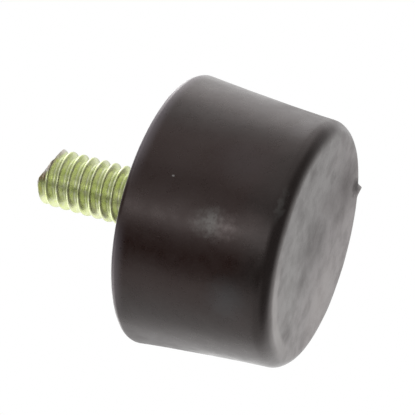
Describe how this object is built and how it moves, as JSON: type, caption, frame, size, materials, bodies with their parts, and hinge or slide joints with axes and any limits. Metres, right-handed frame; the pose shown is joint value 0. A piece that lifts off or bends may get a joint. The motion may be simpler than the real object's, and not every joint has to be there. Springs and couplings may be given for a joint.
{
  "type": "rubber foot",
  "caption": "Tapered round rubber foot with a rounded floor edge, moulded round the hexagon head of a threaded steel stud.",
  "frame": {"origin": "centre of the floor face, which the foot stands on", "axes": "+Z along the axis of the foot and its stud, from the floor face towards the stud's tip; +X is the direction from which the gate nub's bearing is counted"},
  "size_m": [0.0284, 0.0284, 0.0308],
  "materials": {
    "black_rubber": "satin moulded rubber, brown-black, with a faint grey bloom",
    "yellow_zinc_steel": "yellow-green zinc chromate plating"
  },
  "bodies": {
    "root": {"rubber_body": "black_rubber", "threaded_stud": "yellow_zinc_steel"}
  },
  "joints": []
}
